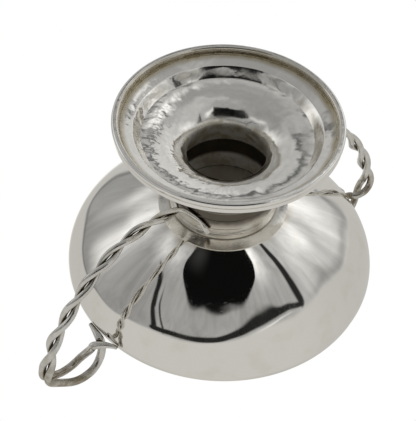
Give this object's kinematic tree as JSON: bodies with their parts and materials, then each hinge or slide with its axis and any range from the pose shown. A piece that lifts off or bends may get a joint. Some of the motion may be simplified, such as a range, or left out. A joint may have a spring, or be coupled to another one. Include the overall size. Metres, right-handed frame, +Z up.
{
  "type": "two-handled sugar bowl",
  "caption": "Shallow round silver sugar bowl on a hollow spreading foot, with twisted wire handles that rise from the stem and loop over the rim.",
  "frame": {"origin": "centre of the foot's underside, where the bowl stands", "axes": "+Z up along the bowl's axis, X through the two handles"},
  "size_m": [0.171, 0.12, 0.0913],
  "materials": {
    "silver_bowl": "polished silver with fine wear scratches",
    "silver_foot": "hammered and polished silver with warm tarnish in the recesses",
    "silver_wire": "soft drawn silver wire, dull in the twist"
  },
  "bodies": {
    "root": {"foot_rim_wire": "silver_foot", "foot_band": "silver_foot", "foot_sheet": "silver_foot", "stem_collar": "silver_foot", "seat_ring": "silver_foot", "bowl": "silver_bowl", "right_handle_wire_a": "silver_wire", "right_handle_wire_b": "silver_wire", "left_handle_wire_a": "silver_wire", "left_handle_wire_b": "silver_wire"}
  },
  "joints": []
}
